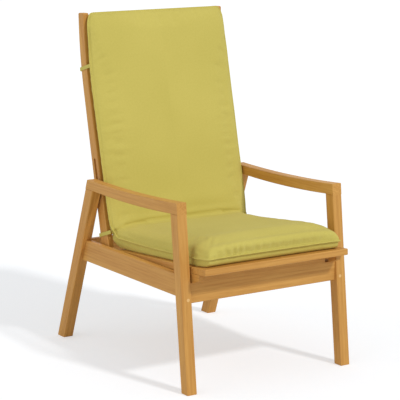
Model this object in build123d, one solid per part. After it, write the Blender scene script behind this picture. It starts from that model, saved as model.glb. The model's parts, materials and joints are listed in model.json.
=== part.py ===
from build123d import *
import os
from math import cos, radians, sin, tan

# Outdoor armchair with an adjustable back and a high folded cushion.
# Millimetres. +X is to the right as the chair is seen from the front, the front faces -Y
# and +Z is up. The origin is at the bottom centre of the bounding box, on the ground.

# Overall
overall_width = 612.0
overall_depth = 853.0
slat_overhang = 34.0
contact_gap = 0.3
edge_radius = 2.5
cut_overrun = 4.0

# Front legs
leg_thickness = 34.0
front_leg_rake = 5.94
front_leg_depth_foot = 36.0
front_leg_depth_top = 39.0
front_leg_height = 541.0

# Rear legs
rear_leg_rake = 21.06
rear_leg_depth = 42.0
rear_leg_height = 534.0

# Arms
arm_front_thickness = 37.0
arm_rear_thickness = 32.0
arm_top_dip = 7.5
arm_underside_dip = 6.5

# Fixed rails between the legs
side_rail_thickness = 20.5
side_rail_bottom = 288.0
side_rail_height = 69.0
apron_thickness = 20.0
apron_bottom = 272.0
apron_setback = 40.0
apron_slat_gap = 1.5
apron_notch_gap = 2.0
apron_tenon_thickness = 12.0
apron_tenon_length = 22.0
apron_tenon_height = 40.0
apron_tenon_lift = 5.0
rear_rail_thickness = 20.0
rear_rail_bottom = 290.0
rear_rail_height = 67.0
bearer_thickness = 18.0
bearer_depth = 56.0
bearer_setback = 372.0

# Wooden pegs and dowels
dowel_radius = 4.0
arm_dowel_length = 44.0
arm_dowel_spacing = 16.0
rail_dowel_length = 36.0
rail_dowel_spacing = 19.0
rail_dowel_lift = 40.0
cross_dowel_spacing = 26.0
bearer_dowel_radius = 3.0
bearer_dowel_length = 26.0
peg_radius = 5.0
peg_height = 286.0
peg_inset = 12.5
peg_length = 32.0
peg_proud = 0.4

# Seat frame, which slides forward on the apron and the bearer
seat_tilt = 4.25
seat_front_height = 389.0
seat_slat_length = 532.0
slat_thickness = 20.0
front_slat_depth = 70.0
slat_corner_radius = 4.0
angle_slack = 6.0
seat_rail_thickness = 20.0
seat_rail_height = 48.7
seat_rail_setback = 36.0
seat_rail_nose_height = 18.0
seat_slat_count = 6
seat_slat_depth = 62.0
last_slat_margin = 11.0
ledger_width = 12.0
ledger_height = 18.0
ledger_margin = 4.0
seat_travel = 90.0
stop_length = 30.0
stop_thickness = 18.0
stop_drop = 12.0
screw_radius = 2.0
screw_bury = 14.0

# Hinge between the seat rails and the back posts
hinge_drop = 24.0
tongue_radius = 20.0
tongue_length = 48.6
lap_gap = 0.5
lap_clearance = 3.0
hinge_bolt_radius = 4.0
hinge_running_gap = 0.05
bolt_head_radius = 8.0
bolt_head_thickness = 4.0
nut_across_flats = 13.0
nut_thickness = 5.0
bolt_end_gap = 1.0
head_gap = 0.2

# Back frame
back_rake = 12.7
post_thickness = 20.0
post_depth_foot = 45.0
post_depth_top = 34.0
post_straight_length = 532.0
post_bend_radius = 1300.0
post_bend_angle = 11.2
post_top_radius = 5.0
back_slat_count = 9
back_slat_height = 44.0
back_slat_thickness = 12.0
back_slat_first = 209.0
last_slat_drop = 53.1
back_slat_setback = 3.0
housing_depth = 8.0
back_rail_thickness = 18.0
crest_rail_height = 40.0
crest_rail_drop = 28.0
foot_rail_height = 56.0
foot_rail_distance = 150.0

# Slots in the posts and the pins, fixed in the rear legs, that run in them
pin_drop = 17.5
pin_lead = 2.5
pin_forward = 1.5
pin_radius = 4.0
pin_clearance = 2.2
pin_bury = 12.0
pin_tip_gap = 1.0
slot_depth = 11.0
slot_lead = 11.6
slot_length = 127.0

# Cushion
seat_pad_half_width = 250.0
seat_pad_setback = 4.0
seat_pad_rear_gap = 18.6
seat_pad_seam_height = 26.0
seat_pad_rear_rise = 14.0
seat_pad_side_height = 41.0
seat_pad_crown = 47.0
seat_pad_dome = 9.0
seat_pad_shoulder = 30.0
seat_pad_low_shoulder = 8.0
back_pad_half_width = 266.0
back_pad_start = 52.0
back_pad_overtop = 3.0
back_pad_rear_thickness = 24.0
back_pad_front_thickness = 22.0
back_pad_crown = 29.0
back_pad_shoulder = 30.0
back_pad_rear_shoulder = 15.0
back_pad_gap = 0.7
crease_lead = 58.6
crease_height = 70.0
fold_lead = 16.6
fold_height = 34.0

# Cushion ties
tie_width = 12.0
tie_thickness = 1.6
tie_gap = 0.1
upper_tie_slat = 7
lower_tie_distance = 71.0

# Shapes of the cushion along its length, as shares: place, width and fullness, then
# the dome of the seat, and for the back how far the seam stands off the posts
seat_pad_shares = [
    (0.0, 0.962, 0.12, 0.0),
    (0.009, 0.984, 0.58, 0.0),
    (0.026, 0.993, 0.8, 0.0),
    (0.06, 1.0, 0.92, 0.1),
    (0.14, 1.0, 0.97, 0.75),
    (0.32, 1.0, 1.0, 1.0),
    (0.5, 1.0, 1.0, 0.8),
    (0.64, 1.0, 1.0, 0.4),
    (0.78, 1.0, 1.0, 0.0),
    (0.9, 1.01, 0.96, 0.0),
    (0.965, 1.02, 0.78, 0.0),
    (1.0, 1.02, 0.42, 0.0),
]
back_pad_shares = [
    (0.0, 0.975, 0.45, 1.0),
    (0.03, 0.985, 0.8, 1.0),
    (0.09, 0.995, 0.97, 1.0),
    (0.25, 1.0, 1.0, 1.0),
    (0.5, 1.0, 1.0, 1.0),
    (0.78, 0.998, 1.0, 0.95),
    (0.9, 0.988, 0.95, 0.75),
    (0.96, 0.978, 0.76, 0.55),
    (0.988, 0.955, 0.44, 0.45),
    (1.0, 0.925, 0.08, 0.4),
]
arc_side_share = 0.3
arc_rise_share = 0.66
bearer_dowel_shares = (0.25, 0.75)

# Places worked out from the sizes above
half_width = overall_width / 2
inner_x = half_width - leg_thickness
leg_middle_x = half_width - leg_thickness / 2
slat_front_y = -overall_depth / 2 + slat_thickness * sin(radians(seat_tilt))
front_foot_y = slat_front_y + slat_overhang
heel_y = overall_depth / 2
arm_front_height = front_leg_height + arm_front_thickness
arm_rear_height = rear_leg_height + arm_rear_thickness
slat_half_length = seat_slat_length / 2
rail_outer_x = slat_half_length
rail_inner_x = rail_outer_x - seat_rail_thickness
post_inner_x = slat_half_length - post_thickness
lap_x = slat_half_length - post_thickness / 2
rear_leg_level_depth = rear_leg_depth / cos(radians(rear_leg_rake))
back_length = post_straight_length + post_bend_radius * radians(post_bend_angle)
last_back_slat = back_length - crest_rail_drop - last_slat_drop
back_slat_pitch = (last_back_slat - back_slat_first) / (back_slat_count - 1)
upper_tie_distance = back_slat_first + (upper_tie_slat - 1 / 2) * back_slat_pitch


def front_leg_y(height, depth_share):
    """Place across the front leg at a height: 0 is its front edge, 1 its rear edge"""
    front = front_foot_y + height * tan(radians(front_leg_rake))
    growth = (front_leg_depth_top - front_leg_depth_foot) * height / front_leg_height
    return front + depth_share * (front_leg_depth_foot + growth)


def rear_leg_y(height, depth_share):
    """Place across the rear leg at a height: 0 is its front edge, 1 its rear edge"""
    rear = heel_y - height * tan(radians(rear_leg_rake))
    return rear - (1 - depth_share) * rear_leg_level_depth


def side_plane(x):
    """Plane at a width, drawn in (Y, Z) and facing +X"""
    return Plane(origin=(x, 0, 0), x_dir=(0, 1, 0), z_dir=(1, 0, 0))


def board(lines, x_low, x_high, plane_at=side_plane):
    """Board with the outline in the side view and its thickness along X"""
    return extrude(plane_at(x_low) * make_face(lines), amount=x_high - x_low)


def outline(points):
    return Polyline(*points, close=True)


def both_sides(name, shape):
    """The same piece at the right and, mirrored, at the left"""
    return {name + "_right": shape, name + "_left": mirror(shape, Plane.YZ)}


def softened(shape):
    """Rounds the long edges of a board"""
    longest = max(edge.length for edge in shape.edges())
    return fillet([edge for edge in shape.edges() if edge.length > longest / 2], edge_radius)


def rod(start, end, radius):
    """Round bar from one point to another"""
    start, end = Vector(start), Vector(end)
    plane = Plane(origin=start, z_dir=end - start)
    return extrude(plane * Circle(radius), amount=(end - start).length)


def seat_point(setback, height):
    """(Y, Z) of a place on the sloping seat: setback from the front slat, height over it"""
    slope = radians(seat_tilt)
    y = slat_front_y + setback * cos(slope) + height * sin(slope)
    z = seat_front_height - setback * sin(slope) + height * cos(slope)
    return y, z


def seat_side_plane(x):
    """Side view plane in the slope of the seat, drawn in (setback, height)"""
    slope = radians(seat_tilt)
    y, z = seat_point(0, 0)
    return Plane(origin=(x, y, z), x_dir=(0, cos(slope), -sin(slope)), z_dir=(1, 0, 0))


def seat_cross_plane(setback, height):
    """Plane across the seat, drawn in (X, height)"""
    slope = radians(seat_tilt)
    y, z = seat_point(setback, height)
    return Plane(origin=(0, y, z), x_dir=(1, 0, 0), z_dir=(0, -cos(slope), sin(slope)))


# The pin is set in the rear leg, and the hinge lies where the back that it guides meets the seat
pin_z = rear_leg_height - pin_drop
pin_y = rear_leg_y(pin_z, 1 / 2) - pin_lead
back_lean = radians(back_rake)
seat_start_y, seat_start_z = seat_point(0, -hinge_drop)
pin_reach = (pin_y - seat_start_y) * cos(back_lean) - (pin_z - seat_start_z) * sin(back_lean)
hinge_setback = (pin_reach + pin_forward) / cos(radians(back_rake - seat_tilt))
hinge_y, hinge_z = seat_point(hinge_setback, -hinge_drop)
pin_distance = (pin_y - hinge_y) * sin(back_lean) + (pin_z - hinge_z) * cos(back_lean)
slot_start = pin_distance - slot_lead
seat_rail_length = hinge_setback - tongue_length
ledger_start = front_slat_depth + ledger_margin
last_slat_middle = seat_rail_length - last_slat_margin - seat_slat_depth / 2
seat_slat_pitch = (last_slat_middle + seat_slat_depth / 2 - front_slat_depth) / seat_slat_count


def back_point(distance, rearward):
    """(Y, Z, lean) at a distance up the post from the hinge, and behind its middle line"""
    lean = radians(back_rake)
    y = hinge_y + min(distance, post_straight_length) * sin(lean)
    z = hinge_z + min(distance, post_straight_length) * cos(lean)
    if distance > post_straight_length:
        bent = lean - (distance - post_straight_length) / post_bend_radius
        y += post_bend_radius * (cos(bent) - cos(lean))
        z += post_bend_radius * (sin(lean) - sin(bent))
        lean = bent
    return y + rearward * cos(lean), z - rearward * sin(lean), lean


def post_half_depth(distance):
    taper = (post_depth_top - post_depth_foot) * distance / back_length
    return (post_depth_foot + taper) / 2


def post_edge(distance, side):
    """(Y, Z) on the front (-1) or rear (1) edge of the post"""
    y, z, lean = back_point(distance, side * post_half_depth(distance))
    return y, z


def back_plane(distance, rearward):
    """Plane across the back, drawn in (X, forward), facing up along the post"""
    y, z, lean = back_point(distance, rearward)
    return Plane(origin=(0, y, z), x_dir=(-1, 0, 0), z_dir=(0, sin(lean), cos(lean)))


def back_box(distance, rearward, width, depth, height):
    """Block across the back, centred at a place on it"""
    y, z, lean = back_point(distance, rearward)
    plane = Plane(origin=(0, y, z), x_dir=(1, 0, 0), z_dir=(0, sin(lean), cos(lean)))
    return plane * Box(width, depth, height)


# Fixed frame

def arm_underside(y_low, y_high):
    """Curve under the arm between the two legs"""
    middle = (y_low + y_high) / 2
    height = (front_leg_height + rear_leg_height) / 2 - arm_underside_dip
    return ThreePointArc((y_low, front_leg_height), (middle, height), (y_high, rear_leg_height))


def arm_shape():
    front_low = (front_leg_y(front_leg_height, 0), front_leg_height)
    front_top = (front_leg_y(arm_front_height, 0), arm_front_height)
    rear_low = (rear_leg_y(rear_leg_height, 1), rear_leg_height)
    rear_top = (rear_leg_y(arm_rear_height, 1), arm_rear_height)
    leg_rear = (front_leg_y(front_leg_height, 1), front_leg_height)
    leg_front = (rear_leg_y(rear_leg_height, 0), rear_leg_height)
    middle_height = (arm_front_height + arm_rear_height) / 2 - arm_top_dip
    middle = ((front_top[0] + rear_top[0]) / 2, middle_height)
    lines = Curve() + [
        Line(front_low, front_top),
        ThreePointArc(front_top, middle, rear_top),
        Line(rear_top, rear_low),
        Line(rear_low, leg_front),
        arm_underside(leg_rear[0], leg_front[0]),
        Line(leg_rear, front_low),
    ]
    return softened(board(lines, inner_x, half_width))


def front_leg_shape():
    return softened(board(outline([
        (front_leg_y(0, 0), 0),
        (front_leg_y(front_leg_height, 0), front_leg_height),
        (front_leg_y(front_leg_height, 1), front_leg_height),
        (front_leg_y(0, 1), 0),
    ]), inner_x, half_width))


def rear_leg_shape():
    return softened(board(outline([
        (rear_leg_y(0, 0), 0),
        (rear_leg_y(rear_leg_height, 0), rear_leg_height),
        (rear_leg_y(rear_leg_height, 1), rear_leg_height),
        (rear_leg_y(0, 1), 0),
    ]), inner_x, half_width))


def side_rail_shape():
    top = side_rail_bottom + side_rail_height
    return softened(board(outline([
        (front_leg_y(side_rail_bottom, 1), side_rail_bottom),
        (front_leg_y(top, 1), top),
        (rear_leg_y(top, 0), top),
        (rear_leg_y(side_rail_bottom, 0), side_rail_bottom),
    ]), inner_x, inner_x + side_rail_thickness))


def front_apron_shape():
    """Apron that rises to the slats, and is cut down at its ends for the seat rails to rest on"""
    front = front_foot_y + apron_setback
    rear = front + apron_thickness
    corners = [(front, apron_bottom), (rear, apron_bottom)]
    for y in (rear, front):
        corners.append((y, height_under_seat(y, slat_thickness + apron_slat_gap)))
    shape = softened(board(outline(corners), -inner_x, inner_x))
    rest = [(y, height_under_seat(y, seat_rail_height + contact_gap))
            for y in (front - cut_overrun, rear + cut_overrun)]
    above = [(y, seat_front_height) for y, z in reversed(rest)]
    cut_start = rail_inner_x - ledger_width - apron_notch_gap
    notch = board(outline(rest + above), cut_start, inner_x + cut_overrun)
    shape -= notch + mirror(notch, Plane.YZ)
    middle = front + apron_thickness / 2
    low = apron_bottom + apron_tenon_lift
    tenon = outline([
        (middle - apron_tenon_thickness / 2, low),
        (middle + apron_tenon_thickness / 2, low),
        (middle + apron_tenon_thickness / 2, low + apron_tenon_height),
        (middle - apron_tenon_thickness / 2, low + apron_tenon_height),
    ])
    reach = inner_x + apron_tenon_length
    return shape + board(tenon, -reach, reach)


def height_under_seat(y, depth):
    """Height, at a place, of the slope that lies a depth below the top of the seat"""
    slope = radians(seat_tilt)
    return seat_front_height - (y - slat_front_y) * tan(slope) - depth / cos(slope)


def rear_rail_shape():
    """Rail between the rear legs, leaning with them"""
    lean = radians(rear_leg_rake)
    half = rear_rail_thickness / 2 / cos(lean)
    corners = []
    for height, side in ((0, -1), (rear_rail_height, -1), (rear_rail_height, 1), (0, 1)):
        z = rear_rail_bottom + height
        corners.append((rear_leg_y(z, 1 / 2) + side * half, z))
    return softened(board(outline(corners), -inner_x, inner_x))


def seat_bearer_shape():
    """Flat board across the frame that carries the rear of the seat rails"""
    top = -seat_rail_height - contact_gap
    corners = [
        (bearer_setback, top),
        (bearer_setback + bearer_depth, top),
        (bearer_setback + bearer_depth, top - bearer_thickness),
        (bearer_setback, top - bearer_thickness),
    ]
    return board(outline(corners), -inner_x, inner_x, seat_side_plane)


def arm_dowels():
    """Two upright dowels in the top of each leg, at the right"""
    rods = []
    for height, place, rake in (
        (front_leg_height, front_leg_y, front_leg_rake),
        (rear_leg_height, rear_leg_y, -rear_leg_rake),
    ):
        for side in (-1, 1):
            y = place(height, 1 / 2) + side * arm_dowel_spacing / 2
            reach = arm_dowel_length / 2
            low, high = height - reach, height + reach
            rods.append(rod((leg_middle_x, y, low), (leg_middle_x, y, high), dowel_radius))
    return rods


def side_rail_dowels():
    """Two level dowels in each end of the side rail, at the right"""
    x = inner_x + side_rail_thickness / 2
    rods = []
    for step in (0, 1):
        z = side_rail_bottom + rail_dowel_lift + step * rail_dowel_spacing
        for joint_y in (front_leg_y(z, 1), rear_leg_y(z, 0)):
            reach = rail_dowel_length / 2
            rods.append(rod((x, joint_y - reach, z), (x, joint_y + reach, z), dowel_radius))
    return rods


def rear_rail_dowels():
    """Two level dowels in each end of the rear rail, at the right"""
    rods = []
    middle = rear_rail_bottom + rear_rail_height / 2
    for side in (-1, 1):
        z = middle + side * cross_dowel_spacing / 2
        y = rear_leg_y(z, 1 / 2)
        reach = rail_dowel_length / 2
        rods.append(rod((inner_x - reach, y, z), (inner_x + reach, y, z), dowel_radius))
    return rods


def bearer_dowels():
    """Two level dowels in each end of the bearer, at the right"""
    rods = []
    for share in bearer_dowel_shares:
        setback = bearer_setback + share * bearer_depth
        y, z = seat_point(setback, -seat_rail_height - contact_gap - bearer_thickness / 2)
        reach = bearer_dowel_length / 2
        rods.append(rod((inner_x - reach, y, z), (inner_x + reach, y, z), bearer_dowel_radius))
    return rods


def apron_peg():
    """Peg driven square into the face of the front leg, through the apron's tenon"""
    slope = radians(front_leg_rake)
    x = inner_x + peg_inset
    y = front_leg_y(peg_height, 0)
    start = (x, y - peg_proud * cos(slope), peg_height + peg_proud * sin(slope))
    end = (x, y + peg_length * cos(slope), peg_height - peg_length * sin(slope))
    return rod(start, end, peg_radius)


def guide_pin():
    """Steel pin in the rear leg whose tip runs in the slot of the back post"""
    tip = slat_half_length - slot_depth + pin_tip_gap
    return rod((inner_x + pin_bury, pin_y, pin_z), (tip, pin_y, pin_z), pin_radius)


def fixed_frame():
    """Legs, arms and rails with the holes of their dowels and pegs, and the dowels"""
    arm_rods, side_rods, rear_rods, bearer_rods = (
        arm_dowels(), side_rail_dowels(), rear_rail_dowels(), bearer_dowels())
    peg, pin = apron_peg(), guide_pin()
    apron, rear_rail, bearer = front_apron_shape(), rear_rail_shape(), seat_bearer_shape()
    front_leg = front_leg_shape() - apron - peg
    rear_leg = rear_leg_shape() - pin
    arm, side_rail = arm_shape(), side_rail_shape()
    for piece in arm_rods:
        arm -= piece
        front_leg -= piece
        rear_leg -= piece
    for piece in side_rods:
        side_rail -= piece
        front_leg -= piece
        rear_leg -= piece
    for piece in rear_rods:
        rear_leg -= piece
        rear_rail -= piece + mirror(piece, Plane.YZ)
    for piece in bearer_rods:
        side_rail -= piece
        bearer -= piece + mirror(piece, Plane.YZ)
    nodes = {
        "front_apron": apron - peg - mirror(peg, Plane.YZ),
        "rear_rail": rear_rail,
        "seat_bearer": bearer,
        "arm_dowels": grouped(arm_rods),
        "side_rail_dowels": grouped(side_rods),
        "rear_rail_dowels": grouped(rear_rods),
        "bearer_dowels": grouped(bearer_rods),
        "apron_pegs": grouped([peg]),
    }
    for name, shape in (("front_leg", front_leg), ("rear_leg", rear_leg), ("arm", arm),
                        ("side_rail", side_rail), ("guide_pin", pin)):
        nodes.update(both_sides(name, shape))
    return nodes


def grouped(pieces):
    """Separate solids at the right and their mirror images, as one group"""
    return Compound(children=pieces + [mirror(piece, Plane.YZ) for piece in pieces])


# Seat

def seat_box(setback_low, setback_high, height_low, height_high, x_low, x_high):
    """Block in the slope of the seat"""
    return board(outline([
        (setback_low, height_low),
        (setback_high, height_low),
        (setback_high, height_high),
        (setback_low, height_high),
    ]), x_low, x_high, seat_side_plane)


def seat_rod(x, setback, height_low, height_high, radius):
    """Round bar square to the seat"""
    low, high = seat_point(setback, height_low), seat_point(setback, height_high)
    return rod((x, *low), (x, *high), radius)


def seat_rail_shape():
    """Rail of the seat, notched for the front slat, with the hinge tongue at its rear"""
    rear = seat_rail_length
    rail = board(outline([
        (seat_rail_setback, -slat_thickness),
        (front_slat_depth, -slat_thickness),
        (front_slat_depth, 0),
        (rear, 0),
        (rear, -seat_rail_height),
        (front_slat_depth, -seat_rail_height),
        (seat_rail_setback, -slat_thickness - seat_rail_nose_height),
    ]), rail_inner_x, rail_outer_x, seat_side_plane)
    top, bottom = -hinge_drop + tongue_radius, -hinge_drop - tongue_radius
    tip = (hinge_setback + tongue_radius, -hinge_drop)
    lines = Curve() + [
        Line((rear, bottom), (rear, top)),
        Line((rear, top), (hinge_setback, top)),
        ThreePointArc((hinge_setback, top), tip, (hinge_setback, bottom)),
        Line((hinge_setback, bottom), (rear, bottom)),
    ]
    return rail + board(lines, rail_inner_x, lap_x - lap_gap / 2, seat_side_plane)


def front_slat_shape():
    slat = seat_box(0, front_slat_depth, -slat_thickness, 0, -slat_half_length, slat_half_length)
    corners = slat.edges().filter_by(Axis.Z, tolerance=angle_slack)
    slat = fillet(corners, slat_corner_radius)
    return softened(slat)


def slat_middle(number):
    return last_slat_middle - (seat_slat_count - 1 - number) * seat_slat_pitch


def seat_slat_shape(number):
    """One of the slats between the seat rails"""
    middle, half = slat_middle(number), seat_slat_depth / 2
    slat = seat_box(middle - half, middle + half, -slat_thickness, 0, -rail_inner_x, rail_inner_x)
    return softened(slat)


def ledger_shape():
    """Strip on the inside of the seat rail that carries the slats"""
    low = -slat_thickness - ledger_height
    end = seat_rail_length - ledger_margin
    return seat_box(ledger_start, end, low, -slat_thickness, rail_inner_x - ledger_width, rail_inner_x)


def seat_stops():
    """Blocks that meet the apron and the bearer at the two ends of the seat's travel"""
    top = -slat_thickness - ledger_height
    low = -seat_rail_height - stop_drop
    apron_rear = (slat_overhang + apron_setback + apron_thickness) / cos(radians(seat_tilt))
    apron_rear -= low * tan(radians(seat_tilt))
    front = apron_rear + seat_travel + contact_gap
    rear = bearer_setback - contact_gap
    inner = rail_inner_x - stop_thickness
    return [
        seat_box(front, front + stop_length, low, top, inner, rail_inner_x),
        seat_box(rear - stop_length, rear, low, top, inner, rail_inner_x),
    ]


def slat_screws():
    """Screws that hold the slats down from below, at the right"""
    low, high = -slat_thickness - ledger_height, -slat_thickness + screw_bury
    x = rail_inner_x - ledger_width / 2
    screws = [seat_rod(x, slat_middle(n), low, high, screw_radius) for n in range(seat_slat_count)]
    x = rail_inner_x + seat_rail_thickness / 2
    setback = (seat_rail_setback + front_slat_depth) / 2
    low = -slat_thickness - seat_rail_nose_height
    return screws + [seat_rod(x, setback, low, high, screw_radius)]


def ledger_screws():
    """Level screws that hold the ledger to its rail, at the right"""
    height = -slat_thickness - ledger_height / 2
    head, point = rail_inner_x - ledger_width, rail_inner_x + screw_bury
    screws = []
    for number in range(seat_slat_count - 1):
        setback = (slat_middle(number) + slat_middle(number + 1)) / 2
        y, z = seat_point(setback, height)
        screws.append(rod((head, y, z), (point, y, z), screw_radius))
    return screws


def hinge_rod(x_low, x_high, radius):
    return rod((x_low, hinge_y, hinge_z), (x_high, hinge_y, hinge_z), radius)


def hinge_bolt():
    """Bolt fixed in the seat rail's tongue, on which the back post turns"""
    seat_of_head = slat_half_length - bolt_head_thickness + head_gap
    shank = hinge_rod(rail_inner_x + bolt_end_gap, seat_of_head, hinge_bolt_radius)
    return shank + hinge_rod(seat_of_head, slat_half_length, bolt_head_radius)


def hinge_nut():
    """Six-sided nut let into the inner face of the tongue"""
    plane = Plane(origin=(rail_inner_x, hinge_y, hinge_z), x_dir=(0, 1, 0), z_dir=(1, 0, 0))
    return extrude(plane * RegularPolygon(nut_across_flats / 2, 6, major_radius=False), amount=nut_thickness)


def seat():
    slat_bars, ledger_bars, bolt, nut = slat_screws(), ledger_screws(), hinge_bolt(), hinge_nut()
    rail, ledger = seat_rail_shape() - bolt - nut, ledger_shape()
    front_slat = front_slat_shape()
    for bar in slat_bars:
        rail -= bar
        ledger -= bar
        front_slat -= bar + mirror(bar, Plane.YZ)
    for bar in ledger_bars:
        rail -= bar
        ledger -= bar
    nodes = {
        "front_slat": front_slat,
        "seat_stops": grouped(seat_stops()),
        "slat_screws": grouped(slat_bars),
        "ledger_screws": grouped(ledger_bars),
        "hinge_nuts": grouped([nut - bolt]),
        "seat_pad": seat_pad(),
    }
    for number in range(seat_slat_count):
        bar = slat_bars[number]
        slat = seat_slat_shape(number) - bar - mirror(bar, Plane.YZ)
        nodes["seat_slat_" + str(number + 1)] = slat
    for name, shape in (("seat_rail", rail), ("seat_ledger", ledger), ("hinge_bolt", bolt)):
        nodes.update(both_sides(name, shape))
    return nodes


# Back

def post_shape():
    """Back post: straight from its round foot, then bent upright near the top"""
    foot = [post_edge(0, -1), back_point(-post_half_depth(0), 0)[:2], post_edge(0, 1)]
    stations = (post_straight_length, (post_straight_length + back_length) / 2, back_length)
    rear = [post_edge(distance, 1) for distance in stations]
    front = [post_edge(distance, -1) for distance in stations]
    lines = Curve() + [
        ThreePointArc(foot[0], foot[1], foot[2]),
        Line(foot[2], rear[0]),
        ThreePointArc(rear[0], rear[1], rear[2]),
        Line(rear[2], front[2]),
        ThreePointArc(front[2], front[1], front[0]),
        Line(front[0], foot[0]),
    ]
    post = board(lines, post_inner_x, slat_half_length)
    top = post.edges().filter_by(Axis.X).sort_by(Axis.Z)[-2:]
    return softened(fillet(top, post_top_radius))


def lap_cut():
    """Space for the tongue in the inner half of the post's foot"""
    length = tongue_radius + lap_clearance
    size = post_depth_foot + cut_overrun
    y, z, lean = back_point((length - size) / 2, 0)
    outer = lap_x + lap_gap / 2
    width = outer - post_inner_x + cut_overrun
    middle = outer - width / 2
    plane = Plane(origin=(middle, y, z), x_dir=(1, 0, 0), z_dir=(0, sin(lean), cos(lean)))
    return plane * Box(width, size, length + size)


def slot_cut():
    """Slot in the outer face of the post, along its middle line"""
    y, z, lean = back_point(slot_start + slot_length / 2, 0)
    plane = Plane(
        origin=(slat_half_length - slot_depth, y, z), x_dir=(0, sin(lean), cos(lean)), z_dir=(1, 0, 0))
    width = 2 * (pin_radius + pin_clearance)
    return extrude(plane * SlotOverall(slot_length, width), amount=slot_depth + cut_overrun)


def back_board(distance, height, thickness):
    """Board across the back, its ends housed in the posts"""
    rearward = back_slat_setback + thickness / 2 - post_half_depth(distance)
    width = 2 * (post_inner_x + housing_depth)
    return softened(back_box(distance, rearward, width, thickness, height))


def tie_shape(distance):
    """Flat strap from the cushion's edge round the post and back to the cushion"""
    y, z, lean = back_point(distance, 0)
    plane = Plane(origin=(0, y, z), x_dir=(1, 0, 0), z_dir=(0, sin(lean), cos(lean)))
    half = post_half_depth(distance)
    front_outer = -half - back_pad_rear_thickness
    front_inner = -half - contact_gap
    rear = half + tie_gap + tie_thickness
    inner, outer = post_inner_x - tie_thickness, slat_half_length + tie_thickness
    strap = outline([
        (slat_half_length, front_outer),
        (outer, front_outer),
        (outer, rear),
        (inner, rear),
        (inner, front_inner),
        (post_inner_x, front_inner),
        (post_inner_x, half + tie_gap),
        (slat_half_length, half + tie_gap),
    ])
    return extrude(plane * make_face(strap), amount=tie_width / 2, both=True)


def back():
    boards = {}
    for number in range(back_slat_count):
        distance = back_slat_first + number * back_slat_pitch
        boards["back_slat_" + str(number + 1)] = back_board(distance, back_slat_height, back_slat_thickness)
    boards["crest_rail"] = back_board(back_length - crest_rail_drop, crest_rail_height, back_rail_thickness)
    boards["foot_rail"] = back_board(foot_rail_distance, foot_rail_height, back_rail_thickness)
    recess_x, outer_x = slat_half_length - bolt_head_thickness, slat_half_length + cut_overrun
    head_recess = hinge_rod(recess_x, outer_x, bolt_head_radius + contact_gap)
    bore = hinge_rod(post_inner_x, slat_half_length, hinge_bolt_radius + hinge_running_gap)
    post = post_shape() - lap_cut() - slot_cut() - head_recess - bore
    for shape in boards.values():
        post -= shape
    nodes = dict(boards)
    nodes["back_pad"] = back_pad()
    for name, shape in (("back_post", post), ("upper_tie", tie_shape(upper_tie_distance)),
                        ("lower_tie", tie_shape(lower_tie_distance))):
        nodes.update(both_sides(name, shape))
    return nodes


# Cushion

def pad_section(plane, half_width, shoulder, low_shoulder, side_rise, crown_rise, underside):
    """Section of a pad: seams at the sides, a crowned face and a flat one"""
    flat, edge = half_width - shoulder, half_width - arc_side_share * shoulder
    low_flat, low_edge = half_width - low_shoulder, half_width - arc_side_share * low_shoulder
    lines = Curve() + [
        ThreePointArc((half_width, 0), (edge, arc_rise_share * side_rise), (flat, side_rise)),
        ThreePointArc((flat, side_rise), (0, crown_rise), (-flat, side_rise)),
        ThreePointArc((-flat, side_rise), (-edge, arc_rise_share * side_rise), (-half_width, 0)),
        ThreePointArc((-half_width, 0), (-low_edge, -arc_rise_share * underside), (-low_flat, -underside)),
        Line((-low_flat, -underside), (low_flat, -underside)),
        ThreePointArc((low_flat, -underside), (low_edge, -arc_rise_share * underside), (half_width, 0)),
    ]
    return plane * make_face(lines)


def fold_plane(offset):
    """Plane between the two pads, through the crease and the fold, facing up"""
    crease = seat_point(hinge_setback - crease_lead, crease_height)
    fold = seat_point(hinge_setback - fold_lead, fold_height)
    run, rise = fold[0] - crease[0], fold[1] - crease[1]
    return Plane(origin=(0, *crease), x_dir=(1, 0, 0), z_dir=(0, -rise, run)).offset(offset)


def seat_pad():
    sections = []
    length = hinge_setback - seat_pad_rear_gap - seat_pad_setback
    for place, width_share, fullness, dome_share in seat_pad_shares:
        seam = seat_pad_seam_height + seat_pad_rear_rise * place ** 4
        plane = seat_cross_plane(seat_pad_setback + place * length, seam)
        dome = seat_pad_dome * dome_share
        sections.append(pad_section(
            plane, seat_pad_half_width * width_share, seat_pad_shoulder, seat_pad_low_shoulder,
            seat_pad_side_height * fullness + dome, seat_pad_crown * fullness + dome,
            (seam - contact_gap) * fullness))
    return split(loft(sections), bisect_by=fold_plane(-contact_gap / 2), keep=Keep.BOTTOM)


def back_pad():
    sections = []
    length = back_length + back_pad_overtop - back_pad_start
    for place, width_share, fullness, seam_share in back_pad_shares:
        distance = back_pad_start + place * length
        seam = seam_share * back_pad_rear_thickness
        rearward = -post_half_depth(min(distance, back_length)) - seam
        sections.append(pad_section(
            back_plane(distance, rearward), back_pad_half_width * width_share, back_pad_shoulder,
            back_pad_rear_shoulder, back_pad_front_thickness * fullness, back_pad_crown * fullness,
            (seam - back_pad_gap) * fullness))
    return split(loft(sections), bisect_by=fold_plane(contact_gap / 2), keep=Keep.TOP)


os.makedirs("parts", exist_ok=True)
for build in (fixed_frame, seat, back):
    for node, shape in build().items():
        export_step(shape, "parts/" + node + ".step")
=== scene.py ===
import json
from math import cos, pi, radians, sin

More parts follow.
